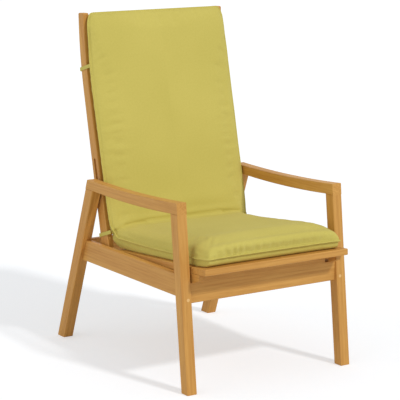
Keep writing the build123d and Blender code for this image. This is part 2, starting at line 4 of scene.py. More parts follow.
import bpy
import numpy as np
from bpy.props import FloatProperty, FloatVectorProperty, IntProperty, PointerProperty
from bpy.types import Operator, Panel, PropertyGroup
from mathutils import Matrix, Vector


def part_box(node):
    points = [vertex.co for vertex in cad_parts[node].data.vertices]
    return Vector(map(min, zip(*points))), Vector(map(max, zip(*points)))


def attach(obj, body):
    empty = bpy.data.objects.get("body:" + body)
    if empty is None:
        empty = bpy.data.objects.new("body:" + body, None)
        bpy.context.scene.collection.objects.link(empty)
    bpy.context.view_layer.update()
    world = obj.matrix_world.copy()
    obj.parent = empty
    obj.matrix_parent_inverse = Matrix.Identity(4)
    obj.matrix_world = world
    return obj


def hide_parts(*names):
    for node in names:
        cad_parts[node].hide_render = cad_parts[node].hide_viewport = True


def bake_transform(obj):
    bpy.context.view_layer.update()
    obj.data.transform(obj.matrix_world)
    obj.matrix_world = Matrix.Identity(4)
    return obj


bl_info = {
    "name": "Outdoor armchair",
    "version": (1, 0, 0),
    "blender": (4, 5, 0),
    "location": "View3D > Sidebar > Armchair",
    "description": "Finishes an outdoor timber armchair and makes its folded cushion, welt and ties",
    "category": "Object",
}

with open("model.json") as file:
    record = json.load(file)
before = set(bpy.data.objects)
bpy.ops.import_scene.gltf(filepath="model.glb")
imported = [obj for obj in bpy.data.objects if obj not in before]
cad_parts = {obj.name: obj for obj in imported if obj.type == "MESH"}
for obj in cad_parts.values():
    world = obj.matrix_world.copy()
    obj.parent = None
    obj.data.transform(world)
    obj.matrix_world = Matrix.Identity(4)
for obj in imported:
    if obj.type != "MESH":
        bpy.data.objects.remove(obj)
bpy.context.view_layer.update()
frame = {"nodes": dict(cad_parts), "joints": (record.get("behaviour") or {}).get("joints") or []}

MM = 0.001
# Points nearer to each other than this are taken for one
SAME_PLACE = 0.01 * MM

# Directions and places of the moving frame, read from the joints and the front slat
SLIDE, RECLINE = frame["joints"]
SEAT_FORWARD = Vector(SLIDE["axis"])
SEAT_UP = Vector((1, 0, 0)).cross(-SEAT_FORWARD)
HINGE = Vector(RECLINE["pos_m"])
SLAT_THICKNESS = 20 * MM
SLAT_LOW, SLAT_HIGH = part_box("front_slat")
SLAT_EDGE = Vector((0, SLAT_LOW.y + SLAT_THICKNESS * SEAT_UP.y, SLAT_HIGH.z))
HINGE_SETBACK = (HINGE - SLAT_EDGE).dot(-SEAT_FORWARD)

# The legs are raked. The back posts lean, and bend upright near the top
FRONT_LEG_RAKE, REAR_LEG_RAKE, BACK_RAKE = radians(5.94), radians(21.06), radians(12.7)
BACK_UP = np.array((0, sin(BACK_RAKE), cos(BACK_RAKE)))
BACK_AHEAD = np.array((0, -cos(BACK_RAKE), sin(BACK_RAKE)))
POST_STRAIGHT, POST_BEND, POST_LENGTH = 532 * MM, 1300 * MM, 786.12 * MM
POST_HALF_FOOT, POST_HALF_TOP = 22.5 * MM, 17 * MM

# The grain runs along each board: those that come in pairs, and those that run across the chair
ACROSS, REARWARD = (1, 0, 0), (0, 1, 0)
SIDE_BOARDS = {
    "front_leg": (0, sin(FRONT_LEG_RAKE), cos(FRONT_LEG_RAKE)),
    "rear_leg": (0, -sin(REAR_LEG_RAKE), cos(REAR_LEG_RAKE)),
    "back_post": BACK_UP,
    "arm": REARWARD,
    "side_rail": REARWARD,
    "seat_rail": -SEAT_FORWARD,
    "seat_ledger": -SEAT_FORWARD,
}
CROSS_BOARDS = ("front_slat", "front_apron", "rear_rail", "seat_bearer", "crest_rail", "foot_rail",
                "seat_stops")
PEGS = ("arm_dowels", "side_rail_dowels", "rear_rail_dowels", "bearer_dowels", "apron_pegs")
STEEL = ("guide_pin_right", "guide_pin_left", "hinge_bolt_right", "hinge_bolt_left",
         "hinge_nuts", "slat_screws", "ledger_screws")

# The pads of the cushion: where each starts and ends, half its width, and its seam's stand off the wood
SEAT_PAD_START, SEAT_PAD_END = 4 * MM, 570 * MM
SEAT_SEAM_HEIGHT, SEAT_SEAM_RISE = 26 * MM, 14 * MM
SEAT_HALF_WIDTH = 250 * MM
BACK_PAD_START, BACK_PAD_END = 52 * MM, 789.1 * MM
BACK_SEAM_STAND = 24 * MM
BACK_HALF_WIDTH = 266 * MM
# Shares of the half width and of the stand, each at a share of the pad's length
SEAT_WIDTHS = [(0, 0.962), (0.009, 0.984), (0.026, 0.993), (0.06, 1), (0.78, 1), (0.9, 1.01), (1, 1.02)]
BACK_WIDTHS = [(0, 0.975), (0.03, 0.985), (0.09, 0.995), (0.25, 1), (0.78, 0.998), (0.9, 0.988),
               (0.96, 0.978), (0.988, 0.955), (1, 0.925)]
BACK_STANDS = [(0, 1), (0.5, 1), (0.78, 0.95), (0.9, 0.75), (0.96, 0.55), (1, 0.4)]

# The seam runs through these places: along the pads in mm, and across them in shares of the half width
SEAT_SEAM_PLACES = (7, 14, 32, 60, 100, 150, 220, 290, 360, 430, 490, 535)
BACK_SEAM_PLACES = (92, 130, 180, 240, 310, 380, 450, 520, 590, 650, 700, 735, 760, 776, 785)
TOP_SEAM_SHARES = (0.9, 0.75, 0.5, 0.25, 0, -0.25, -0.5, -0.75, -0.9)
FRONT_SEAM_SHARES = (-0.975, -0.92, -0.75, -0.5, -0.25, 0, 0.25, 0.5, 0.75, 0.92, 0.975)
TOP_SEAM_DROP = 3 * MM
# What belongs to one side of the seam or of the fold gives way to the other side's over these widths
SEAM_WIDTH, FOLD_WIDTH = 6 * MM, 20 * MM

# The front of the seat is drawn in at its seam by the pull, and less and less up to its ridge and back to
# the reach
FRONT_PULL, FRONT_RIDGE, FRONT_REACH = 14 * MM, 61 * MM, 40 * MM
# The roll of cloth under the seam sags by this power, and its foot lies further back. It sags more and more
# between two places near the front, across towards the sides, and forwards from the rear
ROLL_SAG, ROLL_SETBACK = 1.8, 15 * MM
ROLL_FRONT, ROLL_SIDE, ROLL_REAR = (44.8 * MM, 16.8 * MM), (215 * MM, 233 * MM), (520 * MM, 460 * MM)

# The fold between the pads runs from its crease on top to its foot: before the hinge, and over the slats
CREASE_LEAD, CREASE_HEIGHT = 58.6 * MM, 70 * MM
FOLD_LEAD, FOLD_HEIGHT = 16.6 * MM, 34 * MM

# The cloth is light and a little larger than its pads, and bends more readily than it stretches
CLOTH = {
    "quality": 5,
    "mass": 0.25,
    "tension_stiffness": 12,
    "compression_stiffness": 8,
    "shear_stiffness": 4,
    "bending_stiffness": 0.4,
    "shrink_min": -0.015,
    "use_pressure": True,
    "vertex_group_mass": "seam",
}
# The cloth starts fully tucked in this far off its seam, and stays put where it rests by more than this share
TUCK_REACH, HELD_SHARE = 20 * MM, 0.9
# Cloth that faces the wood by the first share begins to rest on it, and by the second it wholly does
REST_FACING = (0.5, 0.8)

# Gathers of the cloth along the front of the seat: place across, height over the cloth and lean, in mm
FRONT_GATHERS = [
    (-218, 1.6, -18), (-203, -2.4, -16), (-188, 3.4, -13), (-173, -4.4, -11), (-160, 4.0, -8),
    (-147, -4.3, -6), (-138, 3.2, -5), (-128, -4.0, -4), (-118, 3.1, -3), (-107, -3.4, -3), (-90, 2.7, -2),
    (-71, -2.9, -2), (-58, 2.3, 0), (-45, -2.5, 0), (-26, 1.8, 0), (-12, -2.2, 0), (10, 1.6, 0),
    (26, -1.8, 0), (46, 1.4, 0), (66, -1.8, 0), (86, 1.4, 2), (104, -1.8, 2), (124, 1.4, 3), (142, -2.2, 4),
    (160, 1.8, 6), (178, -2.5, 8), (196, 2.2, 10), (212, -2.9, 14), (226, 2.5, 16),
]
# Each gather runs up from the drawn-in seam to the ridge: how far back and over the seam its ends are
GATHER_LOW, GATHER_HIGH = (3 * MM, 3 * MM), (16 * MM, 38 * MM)
GATHER_HALF_WIDTH = 5.5 * MM
# Soft creases across the back near its edges: side, then place up the post, reach in, height and fall in mm
BACK_CREASES = [
    (-1, 322, 95, -1.3, 8), (-1, 338, 110, 1.2, 4), (-1, 366, 80, -1.1, -4), (-1, 392, 105, 1.2, -8),
    (-1, 410, 90, -1.0, -8), (-1, 250, 70, 0.8, 4), (-1, 268, 60, -0.8, 2), (-1, 560, 60, 0.6, 0),
    (1, 408, 95, -1.2, 10), (1, 424, 110, 1.3, 14), (1, 446, 85, -1.1, 12), (1, 300, 70, 0.8, -4),
    (1, 316, 80, -0.8, -4), (1, 600, 60, 0.6, 0), (1, 500, 55, -0.6, 4),
]
# Each crease starts a little in from the edge, and rises with the crown as it runs inwards
BACK_CREASE_INSET, BACK_CREASE_HALF_WIDTH = 8 * MM, 9 * MM
BACK_CREASE_OUTER, BACK_CREASE_INNER = 12 * MM, 26 * MM
# Gathers and creases swell and fade along their length, of which this share lies hidden before their start
HIDDEN_SHARE, FADE_POWER = 0.12, 0.7

# The welt is laid on the cloth in steps, and its middle stands off it by this share of its width
WELT_STEP, WELT_STAND = 14 * MM, 0.15

# The ties: level, distance up the post from the hinge, and the fall from the seam to the post's middle
TIES = (("upper", 612 * MM, 3.2 * MM), ("lower", 71 * MM, 2.6 * MM))
# A tie's gap to its post, how deep its root lies behind the seam, and the rounding of its edges
TIE_GAP, TIE_ROOT, TIE_EDGE = 0.4 * MM, 1 * MM, 0.35 * MM

# Each board is cut from its own place in the log: a step further along it in metres, and steps off its heart
LOG_STEP, HEART_STEP, HEART_OFFSET, HEART_SIDE = 0.37, 20 * MM, 35 * MM, 45 * MM
# Places along a board are squeezed to these shares, which draws the wood's figure out along it
LOG_SQUEEZE, FIBRE_SQUEEZE = 0.1, 0.035
# Width of a scratch in the brushed steel, drawn a little coarse to show
SCRATCH_WIDTH = MM / 3

# Tones, from 0 for the first colour to 1 for the second: what a pattern's main layer gives at most, and what
# each other layer adds, as the layer's weak and strong values and the tones for them
RING_TONE, WEAVE_TONE = 0.2, 0.35
BAND_TONES, FIBRE_TONES, PATCH_TONES = (0.35, 0.65, 0, 0.3), (0.3, 0.7, 0, 0.3), (0.3, 0.7, 0.02, 0.34)
SLUB_TONES, FADE_TONES = (0.35, 0.65, 0.1, 0.3), (0.35, 0.65, 0.1, 0.3)

# Sockets that hidden ones share their names with: Map Range's lowest and highest value taken and given, and
# the colours that Mix takes and gives
RANGE_SOCKETS = (1, 2, 3, 4)
TO_LOW, TO_HIGH = RANGE_SOCKETS[2:]
FIRST_COLOUR, SECOND_COLOUR, MIXED_COLOUR = 6, 7, 2

# The floor lies just under the feet. Each lamp shines from the side of its place, spread by so many degrees
FLOOR_SIZE, FLOOR_GAP = 60, 0.5 * MM
KEY_PLACE, KEY_SPREAD = (0.9, -3.7, 3.55), 6
SIDE_PLACE, SIDE_SPREAD = (-5, 0.4, 1.5), 70

# The camera, fitted to straight edges in the photograph. The sensor's width is in mm, and the focal length
# and the photograph's width are in pixels
CAMERA_PLACE = (-2.92568, -4.49603, 1.55542)
CAMERA_DIP, CAMERA_TURN = radians(11.12), radians(32.98)
SENSOR_WIDTH, FOCAL_LENGTH, PHOTO_WIDTH = 36, 1697.5, 400


def linear(code):
    """Linear colour of an sRGB hex code"""
    shares = [int(code[start:start + 2], 16) / 255 for start in (0, 2, 4)]
    return tuple(c / 12.92 if c <= 0.04045 else ((c + 0.055) / 1.055) ** 2.4 for c in shares)


def colour(name, code, about):
    """A colour setting of the panel"""
    return FloatVectorProperty(
        name=name, description=about, subtype="COLOR", size=3, min=0, max=1, default=linear(code))


def length(name, value, about):
    """A length setting of the panel, in metres"""
    return FloatProperty(name=name, description=about, default=value, min=0, unit="LENGTH", precision=4)


def strength(name, value, about):
    """A setting of the panel for how strong something is"""
    return FloatProperty(name=name, description=about, default=value, min=0)


class TimberSettings(PropertyGroup):
    light: colour("Light timber", "DDA958", "Colour of the pale, straight-grained wood")
    dark: colour("Dark timber", "B97F37", "Colour of the late wood in each growth ring")
    peg: colour("Peg timber", "EBC78C", "Colour of the pegs and dowels, seen at their end grain")
    ring_spacing: length("Ring spacing", 7 * MM, "Distance from one growth ring to the next")
    fibre_width: length("Fibre width", 1.6 * MM, "Width of a streak of fibres")
    band_width: length("Band width", 7 * MM, "Width of a paler or darker band of fibres")
    patch_width: length("Patch width", 45.45 * MM, "Width of a paler or darker patch of the board")
    pore_width: length("Pore width", 0.7143 * MM, "Width of a pore in the end grain of the pegs")


class ClothSettings(PropertyGroup):
    thread: colour("Thread", "D4C66A", "Colour of the cloth's raised threads")
    shade: colour("Between threads", "C1B458", "Colour between the threads")
    thread_spacing: length("Thread spacing", 1.4 * MM, "Distance from one thread to the next")
    slub_width: length("Slub width", 6.25 * MM, "Width of a thicker, paler stretch of thread")
    fade_width: length("Fade width", 200 * MM, "Width of a patch that the sun has faded")


class CushionSettings(PropertyGroup):
    voxel: length("Face size", 6 * MM, "Size of the even faces that the cloth is simulated on")
    tuck: length("Tuck", 2 * MM, "How far the cloth starts inside its final shape")
    swell_limit: length("Swell limit", 4.5 * MM, "The furthest that the filling may push the cloth")
    welt: length("Welt", 4.6 * MM, "Diameter of the raised seam round the cushion")
    frames: IntProperty(name="Frames", description="Steps of the cloth simulation", default=20, min=2)
    pressure: strength("Pressure", 4, "Push of the filling on the cloth")


class TieSettings(PropertyGroup):
    width: length("Width", 12 * MM, "Width of the flat ties round the back posts")
    thickness: length("Thickness", 1.6 * MM, "Thickness of the folded and sewn tape")
    slack: length("Slack", 3 * MM, "How far a tie stands off the rear of its post")


class StageSettings(PropertyGroup):
    floor: colour("Floor", "F2F4F7", "Colour of the pale floor")
    glow: colour("Floor glow", "FBFDFF", "Colour that the floor gives off where the camera sees it")
    glow_power: strength("Glow", 0.475, "Strength of the floor's glow")
    shadow_share: strength("Shadow", 0.72, "Share of the floor's shading that the camera sees")
    key_power: strength("Key light", 1.37, "Strength of the key light")
    side_power: strength("Side light", 0.59, "Strength of the light from the left")
    sky_power: strength("Sky", 0.53, "Strength of the even light")


def add(tree, kind, values=None, links=None, **settings):
    """Adds a shader node with its settings, its sockets' values and its incoming links"""
    node = tree.nodes.new(kind)
    for key, value in settings.items():
        setattr(node, key, value)
    for socket, value in (values or {}).items():
        node.inputs[socket].default_value = value
    for socket, source in (links or {}).items():
        tree.links.new(source, node.inputs[socket])
    return node


def new_material(name):
    """Material with an empty node tree and its output"""
    material = bpy.data.materials.new(name)
    material.use_nodes = True
    tree = material.node_tree
    tree.nodes.clear()
    return material, tree, add(tree, "ShaderNodeOutputMaterial")


def wave_scale(spacing):
    """Scale at which a Wave texture has one wave in each spacing"""
    return pi / 10 / spacing


def add_tones(tree, tone, layers):
    """Adds to a pattern's tone what each of its other layers adds"""
    for layer, tones in layers:
        more = add(tree, "ShaderNodeMapRange", dict(zip(RANGE_SOCKETS, tones)), {0: layer}).outputs[0]
        both = {0: tone, 1: more}
        tone = add(tree, "ShaderNodeMath", None, both, operation="ADD", use_clamp=True).outputs[0]
    return tone


def oiled_timber(name, along, shift):
    """Oiled hardwood, planed and sanded: soft satin, with growth rings drawn out along the board"""
    look = bpy.context.scene.armchair_timber
    material, tree, output = new_material(name)
    place = add(tree, "ShaderNodeTexCoord").outputs["Object"]
    turn = Vector(along).to_track_quat("X", "Z").inverted().to_euler()
    board = add(tree, "ShaderNodeMapping", {"Rotation": turn}, {"Vector": place}).outputs[0]
    log, streak = [add(tree, "ShaderNodeMapping", {
        "Location": shift, "Scale": (squeeze, 1, 1)}, {"Vector": board}).outputs[0]
        for squeeze in (LOG_SQUEEZE, FIBRE_SQUEEZE)]
    rings = add(tree, "ShaderNodeTexWave", {
        "Scale": wave_scale(look.ring_spacing), "Distortion": 3.2, "Detail": 2, "Detail Scale": 0.35,
        "Detail Roughness": 0.55, "Phase Offset": shift[0]}, {"Vector": log},
        wave_type="RINGS", rings_direction="X", wave_profile="SAW").outputs["Fac"]
    fibres = add(tree, "ShaderNodeTexNoise", {
        "Scale": 1 / look.fibre_width, "Detail": 3, "Roughness": 0.6}, {"Vector": streak}).outputs["Fac"]
    bands = add(tree, "ShaderNodeTexNoise", {
        "Scale": 1 / look.band_width, "Detail": 2, "Roughness": 0.5}, {"Vector": streak}).outputs["Fac"]
    patches = add(tree, "ShaderNodeTexNoise", {
        "Scale": 1 / look.patch_width, "Detail": 2, "Roughness": 0.5}, {"Vector": log}).outputs["Fac"]
    tone = add(tree, "ShaderNodeMath", {1: RING_TONE}, {0: rings}, operation="MULTIPLY").outputs[0]
    tone = add_tones(tree, tone, [(bands, BAND_TONES), (fibres, FIBRE_TONES), (patches, PATCH_TONES)])
    mixed = add(tree, "ShaderNodeMix", {FIRST_COLOUR: (*look.light, 1), SECOND_COLOUR: (*look.dark, 1)},
                {0: tone}, data_type="RGBA").outputs[MIXED_COLOUR]
    bump = add(tree, "ShaderNodeBump", {
        "Strength": 0.25, "Distance": 0.3 * MM}, {"Height": fibres}).outputs[0]
    shader = add(tree, "ShaderNodeBsdfPrincipled", {"Roughness": 0.52, "Specular IOR Level": 0.35},
                 {"Base Color": mixed, "Normal": bump}).outputs[0]
    tree.links.new(shader, output.inputs["Surface"])
    return material


def peg_timber():
    """End grain of turned dowels: paler than the legs, with fine pores"""
    look = bpy.context.scene.armchair_timber
    material, tree, output = new_material("peg_timber")
    place = add(tree, "ShaderNodeTexCoord").outputs["Object"]
    pores = add(tree, "ShaderNodeTexNoise", {
        "Scale": 1 / look.pore_width, "Detail": 2}, {"Vector": place}).outputs["Fac"]
    mixed = add(tree, "ShaderNodeMix", {FIRST_COLOUR: (*look.peg, 1), SECOND_COLOUR: (*look.light, 1)},
                {0: pores}, data_type="RGBA").outputs[MIXED_COLOUR]
    shader = add(tree, "ShaderNodeBsdfPrincipled", {"Roughness": 0.6}, {"Base Color": mixed}).outputs[0]
    tree.links.new(shader, output.inputs["Surface"])
    return material


def brushed_steel():
    """Stainless steel, turned and brushed: grey metal with fine scratches along the turning"""
    material, tree, output = new_material("brushed_steel")
    place = add(tree, "ShaderNodeTexCoord").outputs["Object"]
    lines = add(tree, "ShaderNodeMapping", {"Scale": (1, 0.05, 0.05)}, {"Vector": place}).outputs[0]
    scratches = add(tree, "ShaderNodeTexNoise", {
        "Scale": 1 / SCRATCH_WIDTH, "Detail": 2}, {"Vector": lines}).outputs["Fac"]
    rough = add(tree, "ShaderNodeMapRange", {TO_LOW: 0.28, TO_HIGH: 0.45}, {0: scratches}).outputs[0]
    shader = add(tree, "ShaderNodeBsdfPrincipled", {
        "Base Color": (*linear("B9B8B4"), 1), "Metallic": 1}, {"Roughness": rough}).outputs[0]
    tree.links.new(shader, output.inputs["Surface"])
    return material


def woven_cloth(name, space):
    """Plain woven outdoor cotton: matt, with a faint sheen, its threads drawn a little coarse to show"""
    look = bpy.context.scene.armchair_cloth
    material, tree, output = new_material(name)
    place = add(tree, "ShaderNodeTexCoord").outputs[space]
    threads = {"Scale": wave_scale(look.thread_spacing), "Distortion": 0.6, "Detail": 1}
    warp, weft = [
        add(tree, "ShaderNodeTexWave", threads, {"Vector": place}, bands_direction=axis).outputs["Fac"]
        for axis in ("X", "Y")]
    weave = add(tree, "ShaderNodeMath", None, {0: warp, 1: weft}, operation="MULTIPLY").outputs[0]
    slubs = add(tree, "ShaderNodeTexNoise", {
        "Scale": 1 / look.slub_width, "Detail": 4, "Roughness": 0.65}, {"Vector": place}).outputs["Fac"]
    faded = add(tree, "ShaderNodeTexNoise", {
        "Scale": 1 / look.fade_width, "Detail": 1}, {"Vector": place}).outputs["Fac"]
    tone = add(tree, "ShaderNodeMath", {1: WEAVE_TONE}, {0: weave}, operation="MULTIPLY").outputs[0]
    tone = add_tones(tree, tone, [(slubs, SLUB_TONES), (faded, FADE_TONES)])
    mixed = add(tree, "ShaderNodeMix", {FIRST_COLOUR: (*look.shade, 1), SECOND_COLOUR: (*look.thread, 1)},
                {0: tone}, data_type="RGBA").outputs[MIXED_COLOUR]
    bump = add(tree, "ShaderNodeBump", {
        "Strength": 0.35, "Distance": 0.25 * MM}, {"Height": weave}).outputs[0]
    shader = add(tree, "ShaderNodeBsdfPrincipled", {
        "Roughness": 0.95, "Specular IOR Level": 0.15, "Sheen Weight": 0.08, "Sheen Roughness": 0.5},
        {"Base Color": mixed, "Normal": bump}).outputs[0]
    tree.links.new(shader, output.inputs["Surface"])
    return material


def only(piece):
    """Selects one object and makes it active"""
    bpy.ops.object.select_all(action="DESELECT")
    piece.hide_set(False)
    piece.select_set(True)
    bpy.context.view_layer.objects.active = piece


def edit_all(piece, operator, **settings):
    """Runs an edit mode operator on all of a piece's mesh"""
    only(piece)
    bpy.ops.object.mode_set(mode="EDIT")
    bpy.ops.mesh.select_all(action="SELECT")
    operator(**settings)
    bpy.ops.object.mode_set(mode="OBJECT")


def apply_modifier(piece, kind, **settings):
    """Adds a modifier with its settings and applies it"""
    only(piece)
    bpy.ops.object.modifier_add(type=kind)
    modifier = piece.modifiers[-1]
    for key, value in settings.items():
        setattr(modifier, key, value)
    bpy.ops.object.modifier_apply(modifier=modifier.name)


def set_material(piece, material):
    """Gives a piece its one material in place of what it had"""
    piece.data.materials.clear()
    piece.data.materials.append(material)


def finished(piece, material, body=None):
    """Gives a piece its material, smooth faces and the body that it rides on"""
    set_material(piece, material)
    only(piece)
    bpy.ops.object.shade_smooth()
    if body:
        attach(piece, body)


def new_line(piece, name, points, order, resolution):
    """Names a new curve and gives it one NURBS spline with these control points"""
    piece.name = name
    line = piece.data
    line.splines.clear()
    line.dimensions = "3D"
    spline = line.splines.new("NURBS")
    spline.points.add(len(points) - 1)
    for point, place in zip(spline.points, points):
        point.co = (*place, 1)
    spline.order_u = order
    spline.resolution_u = resolution
    return line, spline


def coordinates(piece):
    """Places and outward directions of a mesh's points, as arrays"""
    mesh = piece.data
    places = np.zeros(len(mesh.vertices) * 3)
    mesh.vertices.foreach_get("co", places)
    outward = np.zeros(len(mesh.vertices) * 3)
    mesh.vertices.foreach_get("normal", outward)
    return places.reshape(-1, 3), outward.reshape(-1, 3)


def move_points(piece, places):
    """Puts a mesh's points at new places"""
    piece.data.vertices.foreach_set("co", places.ravel())
    piece.data.update()


def ramp(value, start, end):
    """0 up to the start, 1 from the end on, and an even rise between them"""
    return np.clip((value - start) / (end - start), 0, 1)


def mound(distance, middle, width):
    """1 at the middle of a rounded mound, and less the further from it"""
    return np.exp(-((distance - middle) / width) ** 2)


def shares_at(table, place):
    """Value of a table of shares at a place along the pad"""
    return float(np.interp(place, [row[0] for row in table], [row[1] for row in table]))


def seat_point(x, setback, height):
    """Place on the seat: across, back from the front edge, and over the slats"""
    return SLAT_EDGE + Vector((x, 0, 0)) - SEAT_FORWARD * setback + SEAT_UP * height


def seat_places(places):
    """How far each place is back from the front edge, and over the slats"""
    from_edge = places - np.array(SLAT_EDGE)
    return from_edge @ np.array(-SEAT_FORWARD), from_edge @ np.array(SEAT_UP)


def back_point(x, distance, forward):
    """Place on the back: across, up the posts from the hinge, and in front of their middle line"""
    lean = BACK_RAKE
    reach = min(distance, POST_STRAIGHT)
    y, z = reach * sin(lean), reach * cos(lean)
    if distance > POST_STRAIGHT:
        bent = lean - (distance - POST_STRAIGHT) / POST_BEND
        y += POST_BEND * (cos(bent) - cos(lean))
        z += POST_BEND * (sin(lean) - sin(bent))
        lean = bent
    return HINGE + Vector((x, y - forward * cos(lean), z + forward * sin(lean)))


def post_half_depth(distance):
    """Half the depth of the tapered post"""
    share = min(distance / POST_LENGTH, 1)
    return POST_HALF_FOOT + (POST_HALF_TOP - POST_HALF_FOOT) * share


def side_share(x):
    """0 in the middle of the seat and 1 at its sides"""
    return np.minimum(np.abs(x) / SEAT_HALF_WIDTH, 1)


def front_pull(x):
    """How far the seat's front seam is drawn in between the cushion's corners"""
    return FRONT_PULL * (1 - side_share(x) ** 6)


def seat_seam_height(setback):
    """Height of the seat's seam over the slats, which rises near the fold"""
    return SEAT_SEAM_HEIGHT + SEAT_SEAM_RISE * ramp(setback, SEAT_PAD_START, SEAT_PAD_END) ** 4


def seat_seam(setback):
    """Place on the right seam of the seat pad"""
    width = SEAT_HALF_WIDTH * shares_at(SEAT_WIDTHS, ramp(setback, SEAT_PAD_START, SEAT_PAD_END))
    return seat_point(width, setback, seat_seam_height(setback))


def back_seam(distance):
    """Place on the right seam of the back pad"""
    place = ramp(distance, BACK_PAD_START, BACK_PAD_END)
    forward = post_half_depth(distance) + BACK_SEAM_STAND * shares_at(BACK_STANDS, place)
    return back_point(BACK_HALF_WIDTH * shares_at(BACK_WIDTHS, place), distance, forward)


def seam_loop():
    """Closed line of the seam: up the right side, across the top, down the left side, along the front"""
    right = [seat_seam(place * MM) for place in SEAT_SEAM_PLACES]
    right += [back_seam(place * MM) for place in BACK_SEAM_PLACES]
    top_stand = POST_HALF_TOP + BACK_SEAM_STAND * shares_at(BACK_STANDS, 1)
    top = [back_point(share * BACK_HALF_WIDTH, BACK_PAD_END - TOP_SEAM_DROP, top_stand)
           for share in TOP_SEAM_SHARES]
    left = [Vector((-p.x, p.y, p.z)) for p in reversed(right)]
    front_places = [share * SEAT_HALF_WIDTH for share in FRONT_SEAM_SHARES]
    front = [seat_point(x, SEAT_PAD_START + front_pull(x), SEAT_SEAM_HEIGHT) for x in front_places]
    return right + top + left + front


def distance_to_line(places, start, end):
    """Distance of each place from a straight line, and the share along it of the nearest point"""
    start, run = np.array(start), np.array(end) - np.array(start)
    share = np.clip((places - start) @ run / (run @ run), 0, 1)
    return np.linalg.norm(places - start - share[:, None] * run, axis=1), share


def seam_distance(places):
    """Distance of each place from the cushion's seam"""
    loop = seam_loop()
    nearest = np.full(len(places), np.inf)
    for start, end in zip(loop, loop[1:] + loop[:1]):
        nearest = np.minimum(nearest, distance_to_line(places, start, end)[0])
    return nearest


def fold_frame():
    """Middle of the fold between the pads, and the direction from the seat to the back across it"""
    crease = seat_point(0, HINGE_SETBACK - CREASE_LEAD, CREASE_HEIGHT)
    fold = seat_point(0, HINGE_SETBACK - FOLD_LEAD, FOLD_HEIGHT)
    run = fold - crease
    across = Vector((0, -run.z, run.y)).normalized()
    return (crease + fold) / 2, across


def fold_distance(places):
    """Distance of each place from the fold: below 0 on the seat's side and over 0 on the back's side"""
    middle, across = fold_frame()
    return (places - np.array(middle)) @ np.array(across)


def fold_share(places):
    """0 on the seat's side of the fold and 1 on the back's side"""
    return ramp(fold_distance(places), -FOLD_WIDTH / 2, FOLD_WIDTH / 2)


def rest_share(outward):
    """How far each point faces the slats that the cushion rests on, from 0 to 1"""
    facing_down, facing_back = -(outward @ np.array(SEAT_UP)), -(outward @ BACK_AHEAD)
    return ramp(np.maximum(facing_down, facing_back), *REST_FACING)


def pad_copies():
    """Copy of the two pads in one object, remeshed to even faces that close the fold"""
    copies = []
    for name in ("seat_pad", "back_pad"):
        copy = bpy.data.objects.new(name + "_cloth", frame["nodes"][name].data.copy())
        bpy.context.collection.objects.link(copy)
        copies.append(copy)
    only(copies[0])
    copies[1].select_set(True)
    bpy.ops.object.join()
    cushion = bpy.context.object
    cushion.name = cushion.data.name = "cushion"
    edit_all(cushion, bpy.ops.mesh.remove_doubles, threshold=SAME_PLACE)
    apply_modifier(cushion, "REMESH", mode="VOXEL", voxel_size=bpy.context.scene.armchair_cushion.voxel)
    return cushion


def draw_in_front(cushion):
    """Draws the cloth in at the seat's front seam, under the ridge, and lets the roll under the seam sag"""
    places, _ = coordinates(cushion)
    x = places[:, 0]
    setback, height = seat_places(places)
    near = ramp(setback, SEAT_PAD_START + FRONT_REACH, SEAT_PAD_START)
    pull = front_pull(x) * ramp(height, FRONT_RIDGE, SEAT_SEAM_HEIGHT) * near
    at_side = ramp(np.abs(x), *ROLL_SIDE) * ramp(setback, *ROLL_REAR)
    share = ramp(height, 0, SEAT_SEAM_HEIGHT)
    sag = SEAT_SEAM_HEIGHT * (share - share ** ROLL_SAG) * np.maximum(ramp(setback, *ROLL_FRONT), at_side)
    pull += ROLL_SETBACK * (1 - share) * near
    places += pull[:, None] * np.array(-SEAT_FORWARD) - sag[:, None] * np.array(SEAT_UP)
    move_points(cushion, places)


def fill_cushion(cushion):
    """Swells the cloth under the filling's pressure, held at its seam"""
    scene = bpy.context.scene
    look = scene.armchair_cushion
    rest, outward = coordinates(cushion)
    near = seam_distance(rest)
    held = rest_share(outward)
    tuck = look.tuck * ramp(near, 0, TUCK_REACH) * (1 - held)
    start = rest - outward * tuck[:, None]
    move_points(cushion, start)
    pinned = cushion.vertex_groups.new(name="seam")
    for index in np.nonzero((near < look.voxel) | (held > HELD_SHARE))[0]:
        pinned.add([int(index)], 1, "REPLACE")
    only(cushion)
    bpy.ops.object.modifier_add(type="CLOTH")
    cloth = cushion.modifiers[-1]
    for key, value in CLOTH.items():
        setattr(cloth.settings, key, value)
    cloth.settings.uniform_pressure_force = look.pressure
    cloth.settings.effector_weights.gravity = 0
    cloth.point_cache.frame_end = look.frames
    for step in range(1, look.frames + 1):
        scene.frame_set(step)
    moved, _ = coordinates(cushion.evaluated_get(bpy.context.evaluated_depsgraph_get()))
    cushion.modifiers.remove(cloth)
    cushion.vertex_groups.clear()
    scene.frame_set(1)
    push = moved - start
    reach = np.linalg.norm(push, axis=1)
    push *= np.minimum(1, look.swell_limit / np.maximum(reach, SAME_PLACE))[:, None]
    move_points(cushion, start + push)
    apply_modifier(cushion, "SMOOTH", factor=0.5, iterations=2)
    apply_modifier(cushion, "SUBSURF", levels=1, render_levels=1)


